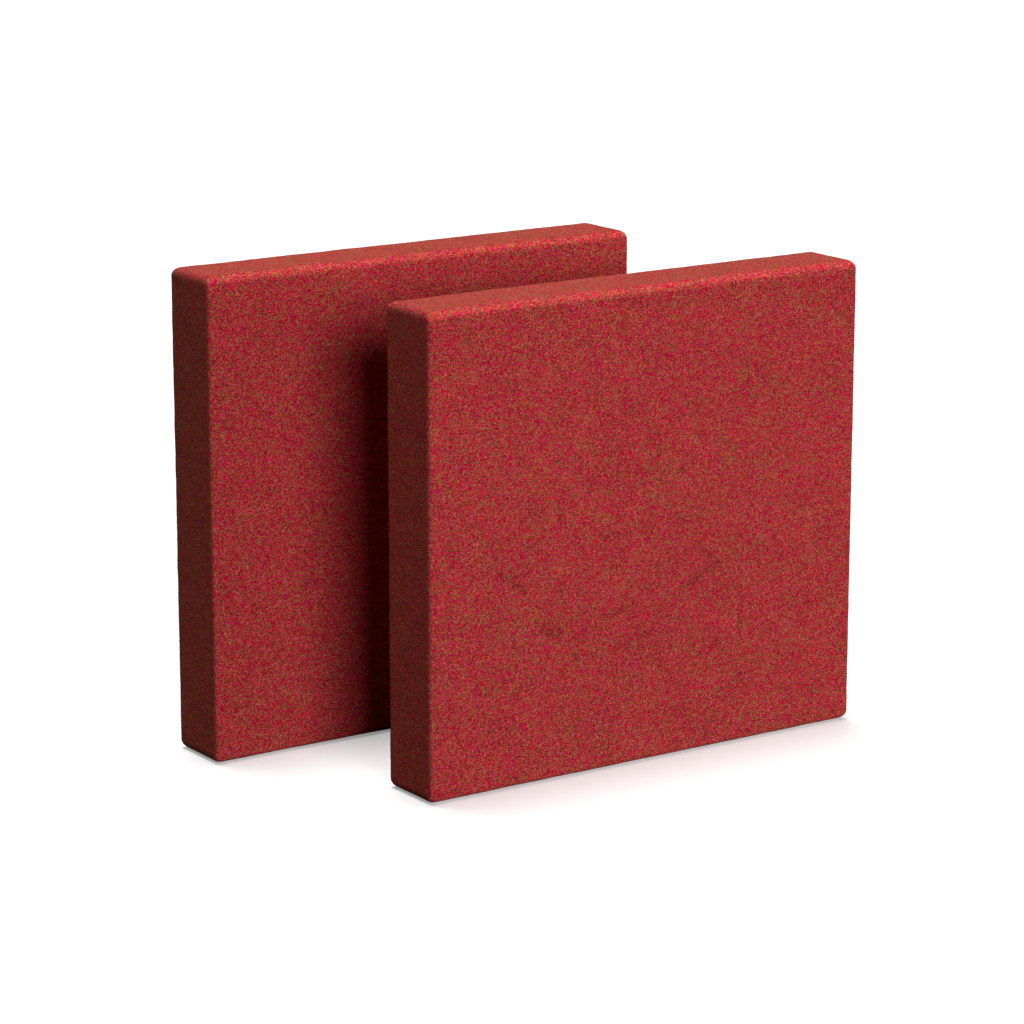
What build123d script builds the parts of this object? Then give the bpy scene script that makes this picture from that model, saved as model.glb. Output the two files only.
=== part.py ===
from build123d import *
import os

# Detailing clay, as two loose bars that stand on edge, one behind the other.
# All sizes are millimetres, +Z is up and the broad faces look along -Y and +Y.
# The origin is on the resting surface, under the middle of the pair's outline.

# The bars are rolled to one thickness and then cut to size, so they differ a little.
BAR_THICKNESS = 11.0
FRONT_BAR_WIDTH = 75.0
FRONT_BAR_HEIGHT = 70.0
REAR_BAR_WIDTH = 73.0
REAR_BAR_HEIGHT = 71.5

# The edges along the width come off the rollers well rounded.
# The rims of the two cut ends are only softened by handling.
ROLLED_EDGE_RADIUS = 1.4
CUT_RIM_RADIUS = 0.8

# How the pair is set down: the clear air between the bars,
# and how far the rear bar's middle stands to the left of the front bar's.
AIR_BETWEEN_BARS = 22.3
REAR_BAR_SIDE_STEP = 16.1


def clay_bar(width, height):
    """One bar, centred on X and Y, with its lower long side on the resting surface."""
    block = Box(width, BAR_THICKNESS, height, align=(Align.CENTER, Align.CENTER, Align.MIN))
    rolled = fillet(block.edges().filter_by(Axis.X), ROLLED_EDGE_RADIUS)
    cut_ends = rolled.faces().filter_by(Axis.X)
    return fillet(cut_ends.edges(), CUT_RIM_RADIUS)


def middle_of_pair_x():
    """X of the middle of the pair's outline, measured from the front bar's middle."""
    left = min(-FRONT_BAR_WIDTH / 2, -REAR_BAR_SIDE_STEP - REAR_BAR_WIDTH / 2)
    right = max(FRONT_BAR_WIDTH / 2, -REAR_BAR_SIDE_STEP + REAR_BAR_WIDTH / 2)
    return (left + right) / 2


def front_bar():
    y = -(AIR_BETWEEN_BARS + BAR_THICKNESS) / 2
    return Pos(-middle_of_pair_x(), y, 0) * clay_bar(FRONT_BAR_WIDTH, FRONT_BAR_HEIGHT)


def rear_bar():
    x = -REAR_BAR_SIDE_STEP - middle_of_pair_x()
    y = (AIR_BETWEEN_BARS + BAR_THICKNESS) / 2
    return Pos(x, y, 0) * clay_bar(REAR_BAR_WIDTH, REAR_BAR_HEIGHT)


os.makedirs("parts", exist_ok=True)
export_step(front_bar(), "parts/front_bar.step")
export_step(rear_bar(), "parts/rear_bar.step")
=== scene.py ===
import math

import bpy
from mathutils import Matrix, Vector


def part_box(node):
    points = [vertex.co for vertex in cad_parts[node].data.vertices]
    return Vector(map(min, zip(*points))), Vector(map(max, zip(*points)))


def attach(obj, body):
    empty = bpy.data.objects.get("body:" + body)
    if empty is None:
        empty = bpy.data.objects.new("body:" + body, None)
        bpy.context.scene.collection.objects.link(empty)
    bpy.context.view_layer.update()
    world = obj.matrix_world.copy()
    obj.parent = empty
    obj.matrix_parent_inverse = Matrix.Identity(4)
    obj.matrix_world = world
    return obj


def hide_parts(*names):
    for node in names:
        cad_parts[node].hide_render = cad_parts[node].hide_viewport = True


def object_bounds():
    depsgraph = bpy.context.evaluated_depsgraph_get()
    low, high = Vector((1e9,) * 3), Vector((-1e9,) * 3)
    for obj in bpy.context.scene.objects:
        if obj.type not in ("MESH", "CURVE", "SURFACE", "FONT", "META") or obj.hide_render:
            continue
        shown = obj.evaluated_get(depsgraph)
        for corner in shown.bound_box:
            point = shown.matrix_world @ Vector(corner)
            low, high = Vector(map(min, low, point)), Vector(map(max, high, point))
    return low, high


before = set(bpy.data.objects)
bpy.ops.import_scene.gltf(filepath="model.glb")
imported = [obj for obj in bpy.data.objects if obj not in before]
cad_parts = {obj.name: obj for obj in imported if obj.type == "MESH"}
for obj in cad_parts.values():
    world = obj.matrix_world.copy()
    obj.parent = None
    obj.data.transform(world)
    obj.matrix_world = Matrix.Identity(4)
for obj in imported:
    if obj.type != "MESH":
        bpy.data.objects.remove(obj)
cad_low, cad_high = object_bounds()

# Two loose bars of red detailing clay, standing on edge on a pale table.
# Lengths are metres: MM turns the millimetres that a maker would use into them.
MM = 0.001


# ---------------------------------------------------------------- node trees as Python

class Wire:
    """An output socket of a node tree. Arithmetic on wires and numbers adds Math nodes."""

    def __init__(self, tree, socket=None):
        self.tree = tree
        self.socket = socket

    def node(self, kind, settings=None, inputs=None, output=0):
        """Adds a node: its settings are made first, then its sockets are filled."""
        made = self.tree.nodes.new(kind)
        for name, value in (settings or {}).items():
            setattr(made, name, value)
        for name, value in (inputs or {}).items():
            if isinstance(value, Wire):
                self.tree.links.new(made.inputs[name], value.socket)
            else:
                made.inputs[name].default_value = value
        return Wire(self.tree, made.outputs[output])

    def math(self, operation, *values):
        """A Math node on this wire and up to two more values."""
        inputs = dict(enumerate((self, *values)))
        return self.node("ShaderNodeMath", {"operation": operation}, inputs)

    def vector_math(self, operation, *values):
        """A Vector Math node on this wire and up to two more values."""
        inputs = dict(enumerate((self, *values)))
        return self.node("ShaderNodeVectorMath", {"operation": operation}, inputs)

    def __add__(self, other):
        return self.math("ADD", other)

    def __radd__(self, other):
        return self.math("ADD", other)

    def __sub__(self, other):
        return self.math("SUBTRACT", other)

    def __rsub__(self, other):
        return (self * -1) + other

    def __mul__(self, other):
        return self.math("MULTIPLY", other)

    def __rmul__(self, other):
        return self.math("MULTIPLY", other)

    def __truediv__(self, other):
        return self.math("DIVIDE", other)

    def at_least(self, low):
        return self.math("MAXIMUM", low)

    def at_most(self, high):
        return self.math("MINIMUM", high)

    def ramp(self, start, end, low=0.0, high=1.0):
        """Goes smoothly from low to high while this wire goes from start to end."""
        inputs = {"Value": self, "From Min": start, "From Max": end, "To Min": low, "To Max": high}
        return self.node("ShaderNodeMapRange", {"interpolation_type": "SMOOTHSTEP"}, inputs)

    def scaled(self, factor):
        """This vector or colour times a number."""
        return self.node("ShaderNodeVectorMath", {"operation": "SCALE"}, {0: self, "Scale": factor})

    def parts(self):
        """The X, Y and Z of a vector."""
        made = self.tree.nodes.new("ShaderNodeSeparateXYZ")
        self.tree.links.new(made.inputs[0], self.socket)
        return [Wire(self.tree, made.outputs[i]) for i in range(3)]

    def joined(self, x, y, z):
        """A vector of three values."""
        return self.node("ShaderNodeCombineXYZ", None, {"X": x, "Y": y, "Z": z})

    def noise(self, place, size, detail=2.0, roughness=0.5):
        """Cloudy noise round 0.5, whose patches are about size metres across at place."""
        inputs = {"Vector": place, "Scale": 1 / size, "Detail": detail, "Roughness": roughness}
        return self.node("ShaderNodeTexNoise", {"noise_dimensions": "3D"}, inputs)


# ---------------------------------------------------------------- the bar's shape

ROLLED_EDGE_RADIUS = 1.4 * MM
UPRIGHT_RIM_RADIUS = 0.55 * MM
LEVEL_RIM_RADIUS = 1.2 * MM
GRID_STEP = 0.38 * MM
UNDULATION_SIZE = 4 * MM
UNDULATION_DEPTH = 0.14 * MM
WRINKLE_SIZE = 1.2 * MM
WRINKLE_DEPTH = 0.05 * MM
SCUFFS_PER_SQUARE_METRE = 9000.0
SCUFF_HALF_WIDTH = 0.6 * MM
SCUFF_DEPTH = 0.025 * MM
PAINTED_SHADE_DEPTH = 0.1 * MM  # a hollow as deep as this gets one whole share of painted shade


def rounded_skin(wire, place, half, rolled):
    """Where a point on a plain block's skin goes on the bar, and how much painted highlight its colour
    gets there.
    First the four long edges are rolled to one radius, then the rims of the two cut ends
    are softened. The painted highlight on the rolled edges is strongest towards the broad faces."""
    x, y, z = place.parts()
    beyond_y = (y.math("ABSOLUTE") - (half[1] - rolled)).at_least(0)
    beyond_z = (z.math("ABSOLUTE") - (half[2] - rolled)).at_least(0)
    reach = beyond_y.math("MAXIMUM", beyond_z)
    span = (beyond_y * beyond_y + beyond_z * beyond_z).math("SQRT")
    lean_y = beyond_y / span
    lean_z = beyond_z / span
    # painted highlight: how much the colour of the rolled edges is brightened, strongest part way round
    # each edge towards the broad faces
    edge_highlight = lean_y * lean_y * lean_z * 2.6

    rim = lean_z * lean_z * (LEVEL_RIM_RADIUS - UPRIGHT_RIM_RADIUS) + UPRIGHT_RIM_RADIUS
    outward = (reach - rolled + rim).at_least(0)
    endward = (x.math("ABSOLUTE") - half[0] + rim).at_least(0)
    rim_span = (outward * outward + endward * endward).math("SQRT")
    keep = outward.math("MAXIMUM", endward) / rim_span
    reach = reach - outward + outward * keep

    round_x = (x.math("ABSOLUTE") - endward + endward * keep) * x.math("SIGN")
    round_y = (y.math("ABSOLUTE").math("MINIMUM", half[1] - rolled) + lean_y * reach) * y.math("SIGN")
    round_z = (z.math("ABSOLUTE").math("MINIMUM", half[2] - rolled) + lean_z * reach) * z.math("SIGN")
    return wire.joined(round_x, round_y, round_z), edge_highlight


# Marks that fingers and a thumbnail left on a broad face: how far right of and above its
# middle each one lies, its length, its tilt in degrees, its half width and its depth.
PRESS_MARKS = [
    (-23.5 * MM, -5 * MM, 5.5 * MM, -35, 0.8 * MM, 0.18 * MM),
    (9.5 * MM, -8.5 * MM, 4.5 * MM, 22, 1.1 * MM, 0.15 * MM),
    (10.5 * MM, -5.5 * MM, 4.5 * MM, -45, 1.0 * MM, 0.11 * MM),
    (-3.5 * MM, -0.5 * MM, 9.0 * MM, 0, 0.9 * MM, 0.09 * MM),
    (-17 * MM, -13 * MM, 2.5 * MM, -30, 2.0 * MM, 0.15 * MM),
    (-6 * MM, -12 * MM, 3.0 * MM, 15, 1.0 * MM, 0.11 * MM),
    (17.5 * MM, -16.5 * MM, 2.0 * MM, 20, 1.0 * MM, 0.11 * MM),
    (-3 * MM, -16.5 * MM, 5.5 * MM, 12, 1.1 * MM, 0.09 * MM),
    (16.5 * MM, -25 * MM, 1.5 * MM, 0, 1.2 * MM, 0.09 * MM),
    (8 * MM, 17 * MM, 3.5 * MM, -7, 1.0 * MM, 0.09 * MM),
    (-21 * MM, 4.5 * MM, 1.5 * MM, 30, 1.1 * MM, 0.09 * MM),
    (21.5 * MM, 7.5 * MM, 3.5 * MM, 45, 0.9 * MM, 0.08 * MM),
    (-31 * MM, 31 * MM, 2.0 * MM, 70, 1.2 * MM, 0.11 * MM),
    (-12 * MM, 28 * MM, 1.5 * MM, 10, 1.2 * MM, 0.09 * MM),
]


def press_mark(x, z, mark):
    """How deep one mark is at a point of the broad face: a groove with round ends."""
    across, up, length, tilt, half_width, depth = mark
    turn = math.radians(tilt)
    right = x - across
    above = z - up
    along = (right * math.cos(turn) + above * math.sin(turn)).at_most(length / 2).at_least(-length / 2)
    off_right = right - along * math.cos(turn)
    off_above = above - along * math.sin(turn)
    away = (off_right * off_right + off_above * off_above).math("SQRT")
    return away.ramp(0.0, half_width, depth, 0.0)


def scuffs(wire, mesh, seed):
    """Short shallow creases of random length and direction, scattered over the whole bar.
    Returns how deep they are at each point."""
    scatter = {"Mesh": mesh, "Density": SCUFFS_PER_SQUARE_METRE, "Seed": seed}
    points = wire.node("GeometryNodeDistributePointsOnFaces", None, scatter)
    upright = Wire(wire.tree, points.socket.node.outputs["Rotation"])
    crease = wire.node("GeometryNodeMeshLine", {"mode": "OFFSET"},
                       {"Count": 2, "Offset": (1 * MM, 0, 0)})
    spin = wire.node("FunctionNodeRandomValue", {"data_type": "FLOAT"},
                     {2: 0.0, 3: math.tau, "Seed": seed}, output=1)
    spun = wire.node("FunctionNodeAxisAngleToRotation", None, {"Axis": (0, 0, 1), "Angle": spin})
    rotation = wire.node("FunctionNodeRotateRotation", {"rotation_space": "LOCAL"},
                         {"Rotation": upright, "Rotate By": spun})
    stretch = wire.node("FunctionNodeRandomValue", {"data_type": "FLOAT"},
                        {2: 0.5, 3: 4.0, "Seed": seed + 1}, output=1)
    creases = wire.node("GeometryNodeInstanceOnPoints", None,
                        {"Points": points, "Instance": crease, "Rotation": rotation,
                         "Scale": wire.joined(stretch, 1.0, 1.0)})
    laid = wire.node("GeometryNodeRealizeInstances", None, {0: creases})
    away = wire.node("GeometryNodeProximity", {"target_element": "EDGES"}, {0: laid}, output="Distance")
    return away.ramp(0.0, SCUFF_HALF_WIDTH, SCUFF_DEPTH, 0.0)


def bar_tree(marks):
    """The node tree that makes one bar from its sizes, its place and a seed."""
    tree = bpy.data.node_groups.new("clay_bar", "GeometryNodeTree")
    face = tree.interface
    for name in ("Width", "Thickness", "Height", "Rolled Edge Radius", "Grid Step"):
        face.new_socket(name, in_out="INPUT", socket_type="NodeSocketFloat")
    face.new_socket("Place", in_out="INPUT", socket_type="NodeSocketVector")
    face.new_socket("Seed", in_out="INPUT", socket_type="NodeSocketInt")
    face.new_socket("Clay", in_out="INPUT", socket_type="NodeSocketMaterial")
    face.new_socket("Geometry", in_out="OUTPUT", socket_type="NodeSocketGeometry")
    entry = tree.nodes.new("NodeGroupInput")
    wire = Wire(tree)
    given = {socket.name: Wire(tree, socket) for socket in entry.outputs if socket.name}
    size = [given["Width"], given["Thickness"], given["Height"]]
    half = [side / 2 for side in size]

    counts = {f"Vertices {axis}": (side / given["Grid Step"]).math("CEIL") + 1
              for axis, side in zip("XYZ", size)}
    block = wire.node("GeometryNodeMeshCube", None, {"Size": wire.joined(*size), **counts})
    place = wire.node("GeometryNodeInputPosition")
    skin, edge_highlight = rounded_skin(wire, place, half, given["Rolled Edge Radius"])
    # keeps the painted highlight mask of the rolled edges for the clay material
    block = stored(wire, block, "edge_highlight", edge_highlight)
    bar = wire.node("GeometryNodeSetPosition", None, {"Geometry": block, "Position": skin})

    # every hollow below goes inwards from the rolled skin
    shift = wire.joined(given["Seed"] * 1.7, given["Seed"] * 2.3, given["Seed"] * 3.1)
    lying = place.vector_math("ADD", shift).vector_math("MULTIPLY", (0.6, 0.6, 1.0))
    undulation = wire.noise(lying, UNDULATION_SIZE, detail=2.0) * UNDULATION_DEPTH
    wrinkles = wire.noise(lying, WRINKLE_SIZE, detail=1.0) * WRINKLE_DEPTH
    normal = wire.node("GeometryNodeInputNormal")
    pressed = scuffs(wire, bar, given["Seed"])
    if marks:
        x, _, z = place.parts()
        faces_front = (normal.parts()[1] * -1).ramp(0.8, 0.95)
        for mark in marks:
            pressed = pressed + press_mark(x, z, mark) * faces_front
    # keeps how deep each press mark and scuff is, which the clay material turns into painted shade
    bar = stored(wire, bar, "pressed", pressed / PAINTED_SHADE_DEPTH)
    hollow = undulation + wrinkles + pressed
    worked = wire.node("GeometryNodeSetPosition", None,
                       {"Geometry": bar, "Offset": normal.scaled(hollow * -1)})
    placed = wire.node("GeometryNodeSetPosition", None, {"Geometry": worked, "Offset": given["Place"]})
    smooth = wire.node("GeometryNodeSetShadeSmooth", None, {"Geometry": placed})
    real = wire.node("GeometryNodeRealizeInstances", None, {"Geometry": smooth})
    finished = wire.node("GeometryNodeSetMaterial", None, {"Geometry": real, "Material": given["Clay"]})
    leave = tree.nodes.new("NodeGroupOutput")
    tree.links.new(leave.inputs[0], finished.socket)
    return tree


def stored(wire, mesh, name, value):
    """The mesh with a value kept at each point, which the material reads by its name."""
    settings = {"data_type": "FLOAT", "domain": "POINT"}
    return wire.node("GeometryNodeStoreNamedAttribute", settings,
                     {"Geometry": mesh, "Name": name, "Value": value})


def clay_bar(name, node, clay, seed, marks=()):
    """A finished bar in the room of its CAD node."""
    low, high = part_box(node)
    size = high - low
    tree = bar_tree(marks)
    maker = bpy.data.objects.new(name + "_maker", bpy.data.meshes.new(name + "_maker"))
    bpy.context.scene.collection.objects.link(maker)
    modifier = maker.modifiers.new("clay_bar", "NODES")
    modifier.node_group = tree
    values = {"Width": size.x, "Thickness": size.y, "Height": size.z,
              "Rolled Edge Radius": ROLLED_EDGE_RADIUS, "Grid Step": GRID_STEP,
              "Place": (low + high) / 2, "Seed": seed, "Clay": clay}
    for item in tree.interface.items_tree:
        if item.in_out == "INPUT":
            modifier[item.identifier] = values[item.name]
    graph = bpy.context.evaluated_depsgraph_get()
    mesh = bpy.data.meshes.new_from_object(maker.evaluated_get(graph), depsgraph=graph)
    bpy.data.objects.remove(maker)
    bar = bpy.data.objects.new(name, mesh)
    mesh.name = name
    bpy.context.scene.collection.objects.link(bar)
    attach(bar, node)
    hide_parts(node)


# ---------------------------------------------------------------- the clay

CRIMSON = (0.475, 0.001, 0.044, 1)
OLIVE_BROWN = (0.255, 0.109, 0.036, 1)
GRAIN_SIZE = 0.09 * MM
CLUSTER_SIZE = 0.8 * MM
MOTTLE_SIZE = 4 * MM
BUMP_SIZE = 0.4 * MM
BUMP_DEPTH = 0.03 * MM


def clay_material():
    """Clay full of fine abrasive grains: each grain is crimson or olive brown, light or dark.
    The grains lie flat, the rolled edges get a painted highlight, and the pressed hollows and scuffs get
    painted shade."""
    material = bpy.data.materials.new("red_detailing_clay")
    material.use_nodes = True
    tree = material.node_tree
    tree.nodes.clear()
    wire = Wire(tree)
    place = wire.node("ShaderNodeTexCoord", output="Object")
    lying = place.vector_math("MULTIPLY", (0.7, 0.7, 1.0))
    # mask of the painted highlight on the rolled edges; it also makes them a little less rough
    edge_highlight = wire.node("ShaderNodeAttribute", {"attribute_name": "edge_highlight"}, output="Fac")
    # depth of the press marks and scuffs, which sets how much painted shade darkens the colour there
    pressed = wire.node("ShaderNodeAttribute", {"attribute_name": "pressed"}, output="Fac")

    grains = wire.node("ShaderNodeTexVoronoi", None, {"Vector": lying, "Scale": 1 / GRAIN_SIZE},
                       output="Color")
    lightness, kind, blueness = grains.parts()
    clusters = wire.noise(lying, CLUSTER_SIZE, detail=3.0)
    mottle = wire.noise(place, MOTTLE_SIZE, detail=3.0)
    kind = (kind + clusters * 0.7 - 0.35).ramp(0.54, 0.66)
    colour = wire.node("ShaderNodeMix", {"data_type": "RGBA"},
                       {0: kind, 6: CRIMSON, 7: OLIVE_BROWN}, output=2)
    colour = colour.vector_math("MULTIPLY", wire.joined(1.0, 1.0, 0.25 + blueness * blueness * 2.2))
    # the edge term brightens the colour as a painted highlight, and the pressed term darkens it as
    # painted shade in the hollows
    tone = (0.3 + lightness * lightness * 1.65 + mottle * 0.3) * (1 + edge_highlight * 0.28) * (1 - pressed * 0.16)

    bump_height = wire.noise(lying, BUMP_SIZE, detail=2.0, roughness=0.6)
    bump = wire.node("ShaderNodeBump", None,
                     {"Height": bump_height, "Strength": 1.0, "Distance": BUMP_DEPTH})
    shader = wire.node("ShaderNodeBsdfPrincipled", None,
                       {"Base Color": colour.scaled(tone), "Normal": bump,
                        "Roughness": 0.66 + mottle * 0.2 - edge_highlight * 0.1,
                        "Specular IOR Level": 0.1, "Specular Tint": (1.0, 0.45, 0.3, 1),
                        "Sheen Weight": 0.045, "Sheen Roughness": 0.5, "Sheen Tint": (0.9, 0.9, 0.25, 1)})
    output = tree.nodes.new("ShaderNodeOutputMaterial")
    tree.links.new(output.inputs["Surface"], shader.socket)
    return material


# ---------------------------------------------------------------- table, light and camera

TABLE_SIDE = 2.4
LENS_MM = 129.4
EYE_DISTANCE = 0.5386
EYE_AZIMUTH = -34.40
EYE_ELEVATION = 13.52
AIM_FROM_MIDDLE = Vector((-1.0, 0.15, -1.87)) * MM


def table_top():
    """A wide pale top that the bars stand on. It throws no light back up on to them."""
    half = TABLE_SIDE / 2
    corners = [(-half, -half, 0), (half, -half, 0), (half, half, 0), (-half, half, 0)]
    mesh = bpy.data.meshes.new("table_top")
    mesh.from_pydata(corners, [], [(0, 1, 2, 3)])
    top = bpy.data.objects.new("table_top", mesh)
    bpy.context.scene.collection.objects.link(top)
    pale = bpy.data.materials.new("pale_table")
    pale.use_nodes = True
    shader = pale.node_tree.nodes["Principled BSDF"]
    shader.inputs["Base Color"].default_value = (0.92, 0.92, 0.92, 1)
    shader.inputs["Roughness"].default_value = 0.9
    shader.inputs["Specular IOR Level"].default_value = 0.1
    shader.inputs["Emission Color"].default_value = (1, 1, 1, 1)
    shader.inputs["Emission Strength"].default_value = 0.25
    mesh.materials.append(pale)
    top.visible_diffuse = False
    top.visible_glossy = False


def direction(azimuth, elevation):
    """The way from the bars towards a point that stands at this azimuth and elevation, in
    degrees. Azimuth 0 is straight in front of the bars, and 90 is to their right."""
    a = math.radians(azimuth)
    e = math.radians(elevation)
    return Vector((math.sin(a) * math.cos(e), -math.cos(a) * math.cos(e), math.sin(e)))


def softbox(name, azimuth, elevation, distance, width, height, power):
    """A rectangular softbox that looks at the middle of the bars and isn't seen itself. Its
    distance, width and height are metres, its power is watts and its angles are degrees."""
    light = bpy.data.lights.new(name, "AREA")
    light.shape = "RECTANGLE"
    light.size = width
    light.size_y = height
    light.energy = power
    lamp = bpy.data.objects.new(name, light)
    bpy.context.scene.collection.objects.link(lamp)
    way = direction(azimuth, elevation)
    lamp.location = middle + way * distance
    lamp.rotation_mode = "QUATERNION"
    lamp.rotation_quaternion = way.to_track_quat("Z", "Y")
    lamp.visible_camera = False


def lighting():
    """Four softboxes, and a white backdrop that is seen but throws no light on the bars."""
    softbox("front_softbox", -12, 17, 3.0, 1.5, 1.3, 71)
    softbox("overhead_softbox", 180, 84, 3.0, 1.2, 1.2, 82)
    softbox("right_fill", 48, 5, 0.5, 0.2, 0.2, 0.6)
    softbox("back_fill", 180, 12, 3.0, 1.2, 1.2, 17)
    backdrop = bpy.data.worlds.new("white_backdrop")
    bpy.context.scene.world = backdrop
    backdrop.use_nodes = True
    white = backdrop.node_tree.nodes["Background"]
    white.inputs["Color"].default_value = (1, 1, 1, 1)
    white.inputs["Strength"].default_value = 1.0
    backdrop.cycles_visibility.diffuse = False
    backdrop.cycles_visibility.glossy = False


def camera():
    """Looks down at the bars from the left of straight in front."""
    way = direction(EYE_AZIMUTH, EYE_ELEVATION)
    lens = bpy.data.cameras.new("camera")
    lens.lens = LENS_MM
    lens.clip_start = 0.05
    eye = bpy.data.objects.new("camera", lens)
    bpy.context.scene.collection.objects.link(eye)
    eye.location = middle + AIM_FROM_MIDDLE + way * EYE_DISTANCE
    eye.rotation_mode = "QUATERNION"
    eye.rotation_quaternion = way.to_track_quat("Z", "Y")
    bpy.context.scene.camera = eye


# ---------------------------------------------------------------- everything together

middle = (cad_low + cad_high) / 2
clay = clay_material()
clay_bar("front_clay_bar", "front_bar", clay, seed=1, marks=PRESS_MARKS)
clay_bar("rear_clay_bar", "rear_bar", clay, seed=2)
table_top()
lighting()
camera()
bpy.context.scene.view_settings.view_transform = "Standard"
